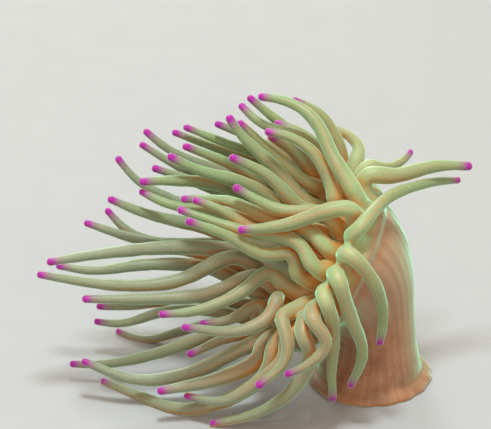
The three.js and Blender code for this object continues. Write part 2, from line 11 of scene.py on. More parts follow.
import bmesh
import bpy
import numpy as np
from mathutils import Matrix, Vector

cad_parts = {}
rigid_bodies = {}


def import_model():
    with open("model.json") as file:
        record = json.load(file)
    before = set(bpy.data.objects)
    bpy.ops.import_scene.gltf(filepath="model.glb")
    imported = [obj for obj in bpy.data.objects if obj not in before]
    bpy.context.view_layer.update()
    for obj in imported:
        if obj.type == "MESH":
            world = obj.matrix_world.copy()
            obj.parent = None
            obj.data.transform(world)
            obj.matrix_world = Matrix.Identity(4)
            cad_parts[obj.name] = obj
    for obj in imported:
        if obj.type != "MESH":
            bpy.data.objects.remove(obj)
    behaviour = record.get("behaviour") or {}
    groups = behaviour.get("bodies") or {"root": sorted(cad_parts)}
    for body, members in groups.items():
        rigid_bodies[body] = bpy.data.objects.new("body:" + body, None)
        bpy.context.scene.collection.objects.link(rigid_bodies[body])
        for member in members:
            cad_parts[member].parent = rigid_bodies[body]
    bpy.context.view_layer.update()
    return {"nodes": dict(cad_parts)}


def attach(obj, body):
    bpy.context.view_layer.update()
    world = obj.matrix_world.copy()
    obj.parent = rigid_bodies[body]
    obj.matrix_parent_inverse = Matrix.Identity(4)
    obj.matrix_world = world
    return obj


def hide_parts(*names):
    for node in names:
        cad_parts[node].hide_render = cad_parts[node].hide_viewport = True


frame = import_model()

MM = 0.001
UV_NAME = "OFBake"
TINY = 1e-9

# ---------- sizes, as in the CAD model
FOOT_RADIUS = 39.0
FOOT_EDGE = 1.6
FOOT_HEIGHT = 5.0
FOOT_TOP_RADIUS = 33.0

WAIST_RADIUS = 26.5
WAIST_START = 0.3
COLUMN_BASE_RADIUS = 31.5
COLUMN_TOP_RADIUS = 51.0
FLARE_START = 0.4
FLARE_POWER = 1.9
COLUMN_AIM = (4.0, 0.0, 30.0)
COLUMN_NECK = 20.0

CROWN_CENTRE = np.array((-29.5, 0.0, 80.0))
CROWN_LEAN = math.radians(60)
DISC_RADIUS = 56.5
DISC_FLAT_RADIUS = 43.0
DISC_THICKNESS = 15.0
GAP = 0.3

LIPS_LONG = 13.0
LIPS_SHORT = 8.0

ROOT_RADIUS = 6.4
FULL_RADIUS = 4.9
TIP_RADIUS = 2.15
ROOT_TAPER = 36.0
TAPER_START = 0.3
TAPER_POWER = 1.6
ROOT_DEPTH = 4.0
STUB_LENGTH = 12.0
FLAT_DEPTH = 0.7

# ---------- axes
SLOPE = math.radians(30)
ACROSS = np.array((1.0, 0.0, 0.0))
RISE = np.array((0.0, math.sin(SLOPE), math.cos(SLOPE)))
NEAR = np.array((0.0, -math.cos(SLOPE), math.sin(SLOPE)))
CROWN_AXIS = np.array((-math.sin(CROWN_LEAN), 0.0, math.cos(CROWN_LEAN)))
CROWN_UP = np.array((math.cos(CROWN_LEAN), 0.0, math.sin(CROWN_LEAN)))
CROWN_FAR = np.array((0.0, 1.0, 0.0))

# ---------- the crown of tentacles
# The tentacles of each ring by their places: girth, nearness of the tip, bends as (across, rise),
# and for some a splay of their own.
RIM = {
    # from the upper rim: the fan that stands up, and two that turn back over the column
    0: (1.05, 58, ((14, 118), (40, 125), (61, 125)), 80),
    1: (0.72, 30, ((10, 125), (20, 130), (25, 136)), 80),
    2: (0.85, 28, ((-7, 136), (-16, 145), (-29, 149)), 60),
    3: (0.95, 45, ((-17, 136), (-28, 157), (-47, 167))),
    4: (0.85, 28, ((-32, 137), (-57, 155), (-74, 169))),
    # from the far rim: streaming behind the others
    5: (0.75, 18, ((-47, 131), (-70, 143), (-94, 153))),
    6: (0.75, 12, ((-49, 127), (-85, 140), (-113, 151))),
    7: (0.75, 4, ((-55, 123), (-91, 137), (-120, 148))),
    8: (0.85, 10, ((-61, 112), (-97, 126), (-121, 136), (-137, 149))),
    9: (0.75, -8, ((-70, 103), (-112, 124), (-140, 141))),
    10: (0.8, -5, ((-79, 91), (-118, 106), (-142, 118), (-154, 133))),
    11: (0.75, -70, ((-76, 39), (-115, 26), (-137, 20), (-155, 26))),
    12: (0.8, 0, ((-82, 43), (-119, 44), (-143, 40), (-166, 40))),
    13: (0.8, -8, ((-88, 39), (-122, 41), (-151, 32), (-168, 34))),
    # from the lower rim: the long ones that sweep out close to the floor
    14: (0.85, 14, ((-94, 25), (-123, 15), (-157, 7), (-182, 7))),
    15: (0.95, 38, ((-79, 17), (-107, 3), (-142, -2), (-174, 10))),
    16: (1.08, 58, ((-65, 11), (-89, -1), (-128, -9))),
    17: (0.9, -30, ((-59, 8), (-79, -10), (-112, -20), (-136, -13), (-163, -3))),
    18: (0.85, 54, ((-49, 15), (-64, 1), (-88, -14), (-112, -10)), 65),
    19: (0.9, 20, ((-35, 15), (-47, -8), (-70, -22), (-97, -28)), 85),
    # from the near rim: drooping in front of the column, and the foremost at its top
    20: (0.85, 82, ((-26, 22), (-38, 10), (-53, 4)), 85),
    21: (0.85, 62, ((-22, 31), (-24, 4), (-23, -14)), 85),
    22: (0.9, 62, ((-13, 39), (-5, 16), (-13, -5)), 85),
    23: (0.9, 70, ((-1, 60), (6, 40), (4, 20)), 85),
    24: (0.8, 44, ((10, 109), (32, 118), (53, 120)), 85),
    25: (1, 88, ((-29, 99), (-52, 91), (-80, 88))),
    26: (0.95, 62, ((-23, 130), (-34, 154), (-50, 165), (-68, 168))),
}
MIDDLE = {
    0: (0.85, 46, ((-26, 130), (-41, 144), (-65, 151), (-79, 164))),
    1: (0.8, 38, ((-28, 133), (-40, 146), (-58, 153))),
    2: (0.9, 44, ((-37, 116), (-56, 133), (-79, 155))),
    3: (1.1, 40, ((-33, 116), (-46, 133), (-63, 143))),
    4: (0.9, 44, ((-59, 112), (-83, 127), (-113, 139))),
    5: (0.85, 22, ((-65, 97), (-100, 115), (-132, 126))),
    6: (0.85, 16, ((-83, 79), (-127, 80), (-146, 86), (-160, 101))),
    7: (0.85, 22, ((-91, 71), (-140, 82), (-173, 93))),
    8: (0.9, 22, ((-94, 65), (-142, 67), (-166, 63), (-190, 67))),
    9: (0.85, 34, ((-65, 25), (-86, 20), (-109, 11))),
    10: (0.85, 48, ((-65, 44), (-85, 34), (-103, 32))),
    11: (0.9, 84, ((-54, 53), (-59, 37), (-79, 28), (-113, 31))),
    12: (0.9, 84, ((-38, 32), (-43, 13), (-64, -4)), 60),
    14: (0.85, 76, ((-43, 81), (-73, 86), (-116, 100))),
    15: (0.9, 66, ((-37, 91), (-58, 95), (-83, 106), (-114, 107))),
    16: (0.9, 80, ((-29, 97), (-53, 96), (-83, 112))),
    17: (0.85, 70, ((-23, 112), (-34, 134), (-49, 144), (-64, 147))),
}
HEART = {
    0: (0.95, 72, ((-41, 100), (-62, 121), (-85, 132))),
    1: (1, 58, ((-38, 103), (-59, 127), (-79, 146), (-86, 157))),
    2: (1, 56, ((-47, 98), (-73, 115), (-104, 124), (-122, 133))),
    3: (1.05, 54, ((-52, 98), (-88, 115), (-118, 118), (-139, 117))),
    4: (0.95, 46, ((-64, 76), (-100, 89), (-134, 97), (-158, 107))),
    5: (1, 60, ((-79, 76), (-124, 78), (-163, 74), (-194, 69))),
    6: (0.95, 58, ((-79, 75), (-113, 58), (-154, 55), (-200, 62))),
    7: (0.95, 60, ((-65, 63), (-94, 50), (-136, 47), (-173, 47))),
    8: (0.9, 74, ((-61, 65), (-76, 52), (-104, 40), (-127, 38))),
    9: (0.88, 88, ((-45, 78), (-64, 75), (-82, 86), (-110, 96))),
    10: (0.88, 72, ((-52, 82), (-73, 89), (-88, 100), (-107, 107))),
    11: (0.9, 48, ((-43, 89), (-88, 98), (-124, 104), (-139, 112))),
}

# Rings of roots: radius, places round the ring, turn of the first, splay in degrees, how far the
# roots are sunk, and the tentacles.
RINGS = (
    (49.5, 27, 0.0, 45, 2.2, RIM),
    (37.5, 18, 0.5, 25, 0.0, MIDDLE),
    (26.0, 12, 0.0, 10, 0.0, HEART),
)

# ---------- settling, as in the CAD model
STATIONS = 30
ROUNDS = 300
WATCH_ROUNDS = 10
WATCH_MARGIN = 8.0
CLEARANCE = 1.6
SIDE_SHARE = 0.3
PUSH_RATE = 0.45
BODY_RATE = 0.4
LEAST_NEAR = 0.5
HELD_LENGTH = 9.6
FREED_LENGTH = 32.0
ROUNDING_PASSES = 5
FRAME_COUNT = 160
COLUMN_STOP_COUNT = 24
AXIS_DIVISIONS = 200  # steps in which a curve's length is measured
DRAWN_DIVISIONS = 200
CURVE_DIVISIONS = 400


# ---------- small helpers
def smoothstep(edge0, edge1, x):
    t = np.clip((np.asarray(x, float) - edge0) / (edge1 - edge0), 0.0, 1.0)
    return t * t * (3 - 2 * t)


def mix(a, b, t):
    return a + (b - a) * t


def unit(vectors):
    return vectors / np.linalg.norm(vectors, axis=-1, keepdims=True)


def lengths(vectors):
    return np.linalg.norm(vectors, axis=-1)


def run_along(points):
    """How far along a line of points each of them is."""
    return np.concatenate(([0.0], np.cumsum(lengths(np.diff(points, axis=0)))))


def angles_round(sides):
    return np.linspace(0, math.tau, sides, endpoint=False)


def normals_along(tangents, first_normal):
    """A normal at each tangent, each turned the least from the one before."""
    normals = np.empty_like(tangents)
    normal = first_normal
    for k, tangent in enumerate(tangents):
        normal = unit(normal - (normal @ tangent) * tangent)
        normals[k] = normal
    return normals


class Curve:
    """A centripetal Catmull-Rom curve through points, which can be followed by its length."""

    def __init__(self, points, divisions):
        points = np.asarray(points, float)
        before = 2 * points[0] - points[1]
        after = 2 * points[-1] - points[-2]
        self.padded = np.vstack((before, points, after))
        self.spans = len(points) - 1
        self.shares = np.linspace(0, 1, divisions + 1)
        self.run = run_along(self.at(self.shares))
        self.length = self.run[-1]

    def at(self, share):
        place = np.clip(np.atleast_1d(share), 0, 1) * self.spans
        span = np.minimum(place.astype(int), self.spans - 1)
        w = (place - span)[:, None]
        p0, p1, p2, p3 = (self.padded[span + k] for k in range(4))
        d0, d1, d2 = (np.sqrt(lengths(b - a))[:, None]
                      for a, b in ((p0, p1), (p1, p2), (p2, p3)))
        out = ((p1 - p0) / d0 - (p2 - p0) / (d0 + d1) + (p2 - p1) / d1) * d1
        into = ((p2 - p1) / d1 - (p3 - p1) / (d1 + d2) + (p3 - p2) / d2) * d1
        square = -3 * p1 + 3 * p2 - 2 * out - into
        cube = 2 * p1 - 2 * p2 + out + into
        return p1 + w * (out + w * (square + w * cube))

    def at_distance(self, distance):
        return self.at(np.interp(distance, self.run, self.shares))

    def tangents(self, distance):
        step = self.length * 1e-3
        ahead = self.at_distance(np.minimum(distance + step, self.length))
        behind = self.at_distance(np.maximum(distance - step, 0.0))
        return unit(ahead - behind)


# ---------- tentacle centrelines
class Tentacle:
    """One tentacle of a ring, with its stations, which settling moves, and its final curve."""

    def __init__(self, ring, place, girth, nearness, path, splay=None):
        radius, places, turn, ring_splay, sunk = ring
        angle = math.tau * (place + turn) / places
        self.girth = girth
        self.outward = CROWN_UP * math.cos(angle) + CROWN_FAR * math.sin(angle)
        self.root = CROWN_CENTRE + self.outward * radius - CROWN_AXIS * sunk
        curve = self.drawn(nearness, path, math.radians(splay or ring_splay))
        distances = np.linspace(0, curve.length, STATIONS)
        self.stations = curve.at_distance(distances)
        self.radii = self.radius_at(distances, curve.length)
        self.free = smoothstep(HELD_LENGTH, FREED_LENGTH, distances)
        self.round_corners()

    def drawn(self, nearness, path, splay):
        """The centreline before settling, out of the disc and along the bends."""
        leave = CROWN_AXIS * math.cos(splay) + self.outward * math.sin(splay)
        knee = self.root + unit(CROWN_AXIS + leave) * (STUB_LENGTH / 2)
        stub_end = knee + leave * STUB_LENGTH
        flat = np.vstack(((stub_end @ ACROSS, stub_end @ RISE), path))
        reach = run_along(flat)[1:]
        near = mix(stub_end @ NEAR, nearness, reach / reach[-1])
        bends = flat[1:, :1] * ACROSS + flat[1:, 1:] * RISE + near[:, None] * NEAR
        start = self.root - CROWN_AXIS * ROOT_DEPTH
        return Curve(np.vstack((start, self.root, knee, stub_end, bends)), DRAWN_DIVISIONS)

    def radius_at(self, distance, length):
        rooted = mix(ROOT_RADIUS, FULL_RADIUS * self.girth, smoothstep(0, ROOT_TAPER, distance))
        tip = TIP_RADIUS * math.sqrt(self.girth)
        beyond = np.maximum(distance / length - TAPER_START, 0) / (1 - TAPER_START)
        return mix(rooted, tip, beyond ** TAPER_POWER)

    def round_corners(self):
        for _ in range(ROUNDING_PASSES):
            old = self.stations.copy()
            middle = (old[:-2] + old[2:]) / 2
            self.stations[1:-1] += (middle - old[1:-1]) * 0.5 * self.free[1:-1, None]

    def set_curve(self, points):
        self.curve = Curve(points, CURVE_DIVISIONS)
        self.frame_distances = np.linspace(0, self.curve.length, FRAME_COUNT)
        self.frame_normals = normals_along(self.curve.tangents(self.frame_distances), RISE)

    def frames(self, distance):
        """The normal and the binormal of the centreline at each distance along it."""
        tangents = self.curve.tangents(distance)
        parts = [np.interp(distance, self.frame_distances, part) for part in self.frame_normals.T]
        normals = np.column_stack(parts)
        normals = unit(normals - (normals * tangents).sum(axis=1, keepdims=True) * tangents)
        return normals, np.cross(tangents, normals)


# ---------- the column's axis
COLUMN_TOP = CROWN_CENTRE - CROWN_AXIS * (DISC_THICKNESS + GAP)
COLUMN_HANDLES = np.vstack((
    (0, 0, FOOT_HEIGHT + GAP),
    COLUMN_AIM,
    COLUMN_TOP - CROWN_AXIS * COLUMN_NECK,
    COLUMN_TOP,
))


def column_point(t):
    t = np.atleast_1d(t)[:, None]
    weights = np.hstack(((1 - t) ** 3, 3 * t * (1 - t) ** 2, 3 * t * t * (1 - t), t ** 3))
    return weights @ COLUMN_HANDLES


def column_tangent(t):
    step = 1e-4
    return unit(column_point(np.minimum(t + step, 1)) - column_point(np.maximum(t - step, 0)))


def column_radius(t):
    base = mix(COLUMN_BASE_RADIUS, WAIST_RADIUS, smoothstep(0, WAIST_START, t))
    flare = (np.maximum(t - FLARE_START, 0) / (1 - FLARE_START)) ** FLARE_POWER
    return mix(base, COLUMN_TOP_RADIUS, flare)


# ---------- settling
def settle(tentacles):
    """Eases the tentacles apart and off the body, and lays those that reach it on the floor."""
    count = len(tentacles)
    home = np.vstack([one.stations for one in tentacles])
    radii = np.concatenate([one.radii for one in tentacles])
    free = np.concatenate([one.free for one in tentacles])
    owner = np.repeat(np.arange(count), STATIONS)
    shares = np.linspace(0, 1, COLUMN_STOP_COUNT + 1)
    stops = [part(shares)[:, None] for part in (column_point, column_tangent, column_radius)]
    axis = column_point(np.linspace(0, 1, AXIS_DIVISIONS + 1))
    spacing = lengths(np.diff(axis, axis=0)).sum() / COLUMN_STOP_COUNT
    point = home.copy()
    shift = np.zeros_like(home)
    for round_number in range(ROUNDS):
        if round_number % WATCH_ROUNDS == 0:
            first, second = close_pairs(point, radii, owner)
        push = ease_apart(point, radii, first, second)
        push += ease_off_column(point, radii, *stops, spacing)
        push += ease_off_foot(point, radii)
        push += ease_off_disc(point, radii)
        shift += push * free[:, None]
        shift = even_out(shift.reshape(count, STATIONS, 3), free.reshape(count, STATIONS))
        point = home + shift
        lack = np.maximum(radii - FLAT_DEPTH - point[:, 2], 0)
        point = point + NEAR * (lack / NEAR[2])[:, None]
        shift = point - home
    for k, one in enumerate(tentacles):
        one.set_curve(point[k * STATIONS:(k + 1) * STATIONS])


def close_pairs(point, radii, owner):
    apart = lengths(point[:, None] - point[None])
    watch = radii[:, None] + radii[None] + CLEARANCE + WATCH_MARGIN
    close = (apart < watch) & (owner[:, None] != owner[None])
    return np.nonzero(np.triu(close, 1))


def ease_apart(point, radii, first, second):
    apart = point[first] - point[second]
    lack = radii[first] + radii[second] + CLEARANCE - lengths(apart)
    touching = lack > 0
    first, second, apart, lack = first[touching], second[touching], apart[touching], lack[touching]
    near = apart @ NEAR
    side = np.where(near < 0, -1.0, 1.0)
    near_part = np.where(np.abs(near) < LEAST_NEAR, side * LEAST_NEAR, near)
    apart = (apart - near[:, None] * NEAR) * SIDE_SHARE + near_part[:, None] * NEAR
    apart = unit(apart) * (lack * PUSH_RATE)[:, None]
    push = np.zeros_like(point)
    np.add.at(push, first, apart)
    np.add.at(push, second, -apart)
    return push


def ease_off_column(point, radii, stop_points, stop_tangents, stop_radii, spacing):
    apart = point[None] - stop_points
    axial = (apart * stop_tangents).sum(axis=2)
    apart = apart - axial[..., None] * stop_tangents
    distance = lengths(apart)
    lack = stop_radii + radii[None] + CLEARANCE - distance
    lack = np.where((np.abs(axial) > spacing) | (lack < 0), 0, lack)
    return (apart / distance[..., None] * (lack * BODY_RATE)[..., None]).sum(axis=0)


def ease_off_foot(point, radii):
    keep = radii + CLEARANCE
    reach = np.hypot(point[:, 0], point[:, 1])
    lack = np.maximum(FOOT_RADIUS + keep - reach, 0)
    lack = np.where(point[:, 2] > FOOT_HEIGHT + keep, 0, lack)
    outward = point * (1, 1, 0) / reach[:, None]
    return outward * (lack * BODY_RATE)[:, None]


def ease_off_disc(point, radii):
    outward = point - CROWN_CENTRE
    height = outward @ CROWN_AXIS
    outward = outward - height[:, None] * CROWN_AXIS
    distance = lengths(outward)
    keep = radii + CLEARANCE
    lack = DISC_RADIUS + keep - distance
    beside = (lack > 0) & (height <= keep) & (height >= -(DISC_THICKNESS + keep))
    forwards = CROWN_AXIS * (keep - height)[:, None]
    sideways = outward / np.maximum(distance, TINY)[:, None] * lack[:, None]
    push = np.where((height > 0)[:, None], forwards, sideways) * BODY_RATE
    return np.where(beside[:, None], push, 0)


def even_out(shift, free):
    before = np.concatenate((shift[:, :1], shift[:, :-1]), axis=1)
    after = np.concatenate((shift[:, 1:], shift[:, -1:]), axis=1)
    evened = shift * 0.5 + before * 0.25 + after * 0.25
    return np.where((free > 0)[..., None], evened, shift).reshape(-1, 3)


# ---------- meshes as arrays
def add_to_scene(name, data):
    piece = bpy.data.objects.new(name, data)
    bpy.context.scene.collection.objects.link(piece)
    return piece


class Shape:
    """Points and faces, put together from rings of points."""

    def __init__(self):
        self.points = []
        self.faces = []
        self.count = 0

    def add(self, points):
        first = self.count
        self.points.append(np.asarray(points, float))
        self.count += len(points)
        return first

    def close(self, ring_starts, sides, first_pole=None, last_pole=None):
        """Joins rings of points side by side, and each end to a point or by one flat face."""
        for low, high in zip(ring_starts, ring_starts[1:]):
            for s in range(sides):
                t = (s + 1) % sides
                self.faces.append((low + s, low + t, high + t, high + s))
        first, last = ([start + s for s in range(sides)] for start in (ring_starts[0], ring_starts[-1]))
        for ring, pole in ((first[::-1], first_pole), (last, last_pole)):
            if pole is None:
                self.faces.append(tuple(ring))
            else:
                self.faces += [(a, b, pole) for a, b in zip(ring, ring[1:] + ring[:1])]

    def mesh(self, name):
        mesh = bpy.data.meshes.new(name)
        mesh.from_pydata((np.vstack(self.points) * MM).tolist(), [], self.faces)
        mesh.update()
        return mesh


def ring_points(centres, normals, binormals, radii, sides):
    """Rings of points round the centres; radii are one for each ring, or one for each point."""
    angles = angles_round(sides)
    radii = np.broadcast_to(np.asarray(radii, float).reshape(len(centres), -1), (len(centres), sides))
    circle = (np.cos(angles)[:, None] * normals[:, None] + np.sin(angles)[:, None] * binormals[:, None])
    return centres[:, None] + circle * radii[..., None]


def flat_ended(rings):
    """A shape of rings of points joined side by side, with a flat face at each end."""
    count, sides = rings.shape[:2]
    shape = Shape()
    first = shape.add(rings.reshape(-1, 3))
    shape.close([first + k * sides for k in range(count)], sides)
    return shape


# ---------- tentacles of the skin
TUBE_SIDES = 18
RING_SPACING = 2.4
TUBE_START = 9.0  # where a tentacle's tube begins, inside its root
CAP_RINGS = 6
TIP_BULB = 0.10  # how much the tip is swollen
TIP_BULB_LENGTH = 7.0
SWELLS = ((0.030, 31.0), (0.022, 17.0), (0.012, 9.0))  # share of the radius and wavelength
ON_FLOOR = (-np.inf, -np.inf, 0.0)  # the least that a point's coordinates may be
ROOT_END = 30.0
ROOT_RINGS = 14
ROOT_SWELL = 1.0  # how much wider a root is than its tentacle where it leaves the disc
ROOT_SHRINK = 0.9  # and how much narrower at its end, inside the tentacle

TONE_HEIGHTS = (55.0, 100.0)  # heights of the root at which a tentacle is grey-green and olive
TONE_CHANCE = 0.35  # how much of a tentacle's tone is chance

SEED = 11
draw = np.random.default_rng(SEED)


def tube_radius(one, distance, phases):
    length = one.curve.length
    radius = one.radius_at(distance, length)
    for (share, wavelength), phase in zip(SWELLS, phases):
        radius = radius * (1 + share * np.sin(math.tau * distance / wavelength + phase))
    bulb = np.exp(-((length - distance) / TIP_BULB_LENGTH) ** 2)
    return radius * (1 + TIP_BULB * bulb)


def mark_tube(mesh, one, distance):
    """What a tube's points carry: those of its rings, at these distances, and then its pole."""
    length = one.curve.length
    angles = np.append(np.tile(angles_round(TUBE_SIDES), len(distance)), 0.0)
    distance = np.append(np.repeat(distance, TUBE_SIDES), length)
    carried = {
        "owner": one.number,
        "from_root": distance,
        "to_tip": length - distance,
        "tone": one.tone,
        "tentacle": 1.0,
        "turn_x": np.cos(angles),
        "turn_y": np.sin(angles),
    }
    for name, values in carried.items():
        write_value(mesh, name, np.broadcast_to(values, len(distance)))


def tentacle_tube(one, phases):
    length = one.curve.length
    cap_radius = float(tube_radius(one, length, phases))
    shoulder = length - cap_radius
    count = int(round((shoulder - TUBE_START) / RING_SPACING))
    body = np.linspace(TUBE_START, shoulder, count)
    tilt = np.linspace(0, math.pi / 2, CAP_RINGS + 1)[1:-1]
    distance = np.concatenate((body, shoulder + cap_radius * np.sin(tilt)))
    radius = tube_radius(one, np.minimum(distance, shoulder), phases)
    radius[len(body):] *= np.cos(tilt)
    centres = one.curve.at_distance(distance)
    rings = ring_points(centres, *one.frames(distance), radius, TUBE_SIDES).reshape(-1, 3)
    shape = Shape()
    first = shape.add(np.maximum(rings, ON_FLOOR))
    pole = shape.add(np.maximum(one.curve.at_distance(length), ON_FLOOR))
    starts = [first + k * TUBE_SIDES for k in range(len(distance))]
    shape.close(starts, TUBE_SIDES, last_pole=pole)
    mesh = shape.mesh("tube")
    mark_tube(mesh, one, distance)
    return mesh


def tentacle_root(one):
    distance = np.linspace(0, ROOT_END, ROOT_RINGS)
    swell = mix(ROOT_SWELL, -ROOT_SHRINK, smoothstep(0, ROOT_END, distance))
    radius = one.radius_at(distance, one.curve.length) + swell
    centres = one.curve.at_distance(distance)
    return flat_ended(ring_points(centres, *one.frames(distance), radius, TUBE_SIDES))


# ---------- the body of the skin
BODY_SIDES = 144
COLUMN_RINGS = 60
COLUMN_RIDGES = 36
RIDGE_HEIGHT = 0.16
FOLDS = 7
FOLD_HEIGHT = 0.8
COLUMN_SINK = 3.0  # how far the column's ends are carried into the foot and the disc
FOLD_SIDE = (0.2, 0.9)  # how squarely a point faces the bend's inner side
FOLD_START = (0.08, 0.25)  # as shares of the column's axis
FOLD_END = (0.45, 0.7)
FOLD_SPAN = 0.6
DISC_RIDGES = 36
DISC_RIDGE_HEIGHT = 0.45
DISC_RIDGE_START = (16.0, 22.0)  # radii over which the ridges begin
DISC_RIDGE_END = (44.0, 52.0)
DISC_RIDGE_DEPTH = 3.0
FOOT_LOBES = 17
FOOT_LOBE_DEPTH = 0.8
MOUTH_DEPTH = 6.0
MOUTH_SLOPE = (0.05, 0.85)  # as shares of the way to the lips
LIP_SIDES = 16
LIP_LOBES = 18
LIP_LOBE_DEPTH = 0.12  # share of the lips' width
LIP_WIDTH = 2.4
LIP_MIDDLE = 1.7
PROFILE_STEP = 1.5
VOXEL = 1.22
FLOOR_SNAP = 0.25  # what is this near the floor is laid on it
SMOOTHING = 6
SMOOTHING_RATE = 0.5


def turned(profile, axes, centre, changes):
    """A closed shape turned about an axis, from a profile that starts and ends on it.

    The changes are what is added to the radius and to the height of each point round the axis.
    """
    out, aside, up = axes
    angles = angles_round(BODY_SIDES)
    around = np.cos(angles)[:, None] * out + np.sin(angles)[:, None] * aside
    shape = Shape()
    starts = []
    for radius, height in profile[1:-1]:
        wider, higher = changes(radius, height, angles)
        radii = np.full(BODY_SIDES, radius) + wider
        heights = np.full(BODY_SIDES, height) + higher
        starts.append(shape.add(centre + around * radii[:, None] + heights[:, None] * up))
    low = shape.add([centre + profile[0][1] * up])
    high = shape.add([centre + profile[-1][1] * up])
    shape.close(starts, BODY_SIDES, first_pole=low, last_pole=high)
    return shape


def refined(profile, step):
    """The same outline with points at most a step apart."""
    points = [np.array(profile[0], float)]
    for start, end in zip(profile, profile[1:]):
        start, end = np.array(start, float), np.array(end, float)
        parts = max(1, math.ceil(lengths(end - start) / step))
        points += [mix(start, end, k / parts) for k in range(1, parts + 1)]
    return [tuple(point) for point in points]


def pedal_disc():
    def lobes(radius, height, angles):
        lobe = 0.5 + 0.5 * np.cos(FOOT_LOBES * angles)
        return -FOOT_LOBE_DEPTH * (radius / FOOT_RADIUS) ** 6 * lobe, 0.0

    profile = refined((
        (0, 0),
        (FOOT_RADIUS - 1.4, 0),
        (FOOT_RADIUS - 0.2, FOOT_EDGE),
        ((FOOT_RADIUS + FOOT_TOP_RADIUS) / 2, FOOT_HEIGHT - 1.2),
        (FOOT_TOP_RADIUS, FOOT_HEIGHT),
        (0, FOOT_HEIGHT),
    ), PROFILE_STEP)
    axes = (ACROSS, np.array((0.0, 1.0, 0.0)), np.array((0.0, 0.0, 1.0)))
    return turned(profile, axes, np.zeros(3), lobes)


def oral_disc():
    def ridges_and_mouth(radius, height, angles):
        if height < -DISC_THICKNESS / 2:
            return 0.0, 0.0
        band = smoothstep(*DISC_RIDGE_START, radius) * (1 - smoothstep(*DISC_RIDGE_END, radius))
        band = band * (height > -DISC_RIDGE_DEPTH)
        ridges = band * DISC_RIDGE_HEIGHT * (np.cos(DISC_RIDGES * angles) - 1)
        reach = np.hypot(radius * np.cos(angles) / LIPS_LONG, radius * np.sin(angles) / LIPS_SHORT)
        return 0.0, ridges - MOUTH_DEPTH * (1 - smoothstep(*MOUTH_SLOPE, reach))

    profile = refined((
        (0, -DISC_THICKNESS),
        (COLUMN_TOP_RADIUS - 0.5, -DISC_THICKNESS),
        (DISC_RADIUS - 0.8, -DISC_THICKNESS * 0.72),
        (DISC_RADIUS - 0.3, -DISC_THICKNESS * 0.5),
        (DISC_RADIUS - 2.2, -DISC_THICKNESS * 0.3),
        ((DISC_RADIUS + DISC_FLAT_RADIUS) / 2, -DISC_THICKNESS * 0.12),
        (DISC_FLAT_RADIUS, 0),
        (0, 0),
    ), PROFILE_STEP)
    axes = (CROWN_UP, CROWN_FAR, CROWN_AXIS)
    return turned(profile, axes, CROWN_CENTRE, ridges_and_mouth)


def column():
    t = np.linspace(0, 1, COLUMN_RINGS)
    centres = column_point(t)
    tangents = column_tangent(t)
    tangents[0] = (0, 0, 1)
    centres[0] -= COLUMN_SINK * tangents[0]
    centres[-1] += COLUMN_SINK * tangents[-1]
    normals = normals_along(tangents, ACROSS)
    angles = angles_round(BODY_SIDES)
    ridge = RIDGE_HEIGHT * (np.cos(COLUMN_RIDGES * angles) - 1)
    # The inner side of the bend, towards -X, is gathered in folds.
    inner = smoothstep(*FOLD_SIDE, -np.cos(angles))
    height = smoothstep(*FOLD_START, t) * (1 - smoothstep(*FOLD_END, t))
    fold = FOLD_HEIGHT * (np.cos(math.tau * FOLDS * t / FOLD_SPAN) - 1)
    radii = column_radius(t)[:, None] + ridge + (height * fold)[:, None] * inner
    rings = ring_points(centres, normals, np.cross(tangents, normals), radii, BODY_SIDES)
    return flat_ended(rings)


def lips():
    around = angles_round(LIP_SIDES)
    shape = Shape()
    starts = []
    for turn in angles_round(BODY_SIDES):
        width = LIP_WIDTH * (1 - LIP_LOBE_DEPTH + LIP_LOBE_DEPTH * math.cos(LIP_LOBES * turn))
        long = math.cos(turn) * (LIPS_LONG + width * np.cos(around))
        short = math.sin(turn) * (LIPS_SHORT + width * np.cos(around))
        height = LIP_MIDDLE + width * np.sin(around)
        ring = CROWN_CENTRE + np.outer(long, CROWN_UP) + np.outer(short, CROWN_FAR)
        starts.append(shape.add(ring + np.outer(height, CROWN_AXIS)))
    for low, high in zip(starts, starts[1:] + starts[:1]):
        for s in range(LIP_SIDES):
            t = (s + 1) % LIP_SIDES
            shape.faces.append((low + s, high + s, high + t, low + t))
    return shape


def joined(shapes):
    whole = Shape()
    for shape in shapes:
        first = whole.add(np.vstack(shape.points))
        whole.faces += [tuple(first + k for k in face) for face in shape.faces]
    return whole


def modify(piece, kind, **settings):
    """Puts a modifier of this kind on the piece and applies it."""
    modifier = piece.modifiers.new(kind, kind)
    for name, value in settings.items():
        setattr(modifier, name, value)
    bpy.context.view_layer.objects.active = piece
    bpy.ops.object.modifier_apply(modifier=modifier.name)


def remeshed_body(tentacles):
    """The body and the tentacles' roots run into one another, as one closed smooth mesh."""
    shapes = [pedal_disc(), column(), oral_disc(), lips()] + [tentacle_root(one) for one in tentacles]
    body = add_to_scene("skin", joined(shapes).mesh("skin"))
    modify(body, "REMESH", mode="VOXEL", voxel_size=VOXEL * MM)
    modify(body, "SMOOTH", factor=SMOOTHING_RATE, iterations=SMOOTHING)
    return body


# ---------- what the skin's points carry
SEAM_START = (6.0, 10.0)  # distances from the root over which a seam's smoothing begins
SEAM_END = (20.0, 25.0)
SEAM_SMOOTHING = 8
LEAST_WEIGHT = 0.01
MOSTLY = 0.5  # from this share on, a point counts as a tentacle's
ROOT_SAMPLES = 31
AXIS_SAMPLES = 81
DISC_SAMPLES = 15
MOUTH_EDGE = (14.0, 18.0)  # distances from the crown's centre between which flesh turns to lips
COLUMN_EDGE = (-4.0, -13.0)  # heights over the disc between which flesh turns to column
SIDE_EDGE = (43.0, 50.0)  # distances from the crown's axis between which face turns to side
CLEAR_EDGE = (1.0, 5.0)  # distances off a root between which tentacle turns to disc
BASE_EDGE = (0.0, 6.0)  # distances from the root between which disc turns to tentacle
NO_TIP = 100.0  # stand-ins for flesh away from every tentacle
NO_TONE = 0.5


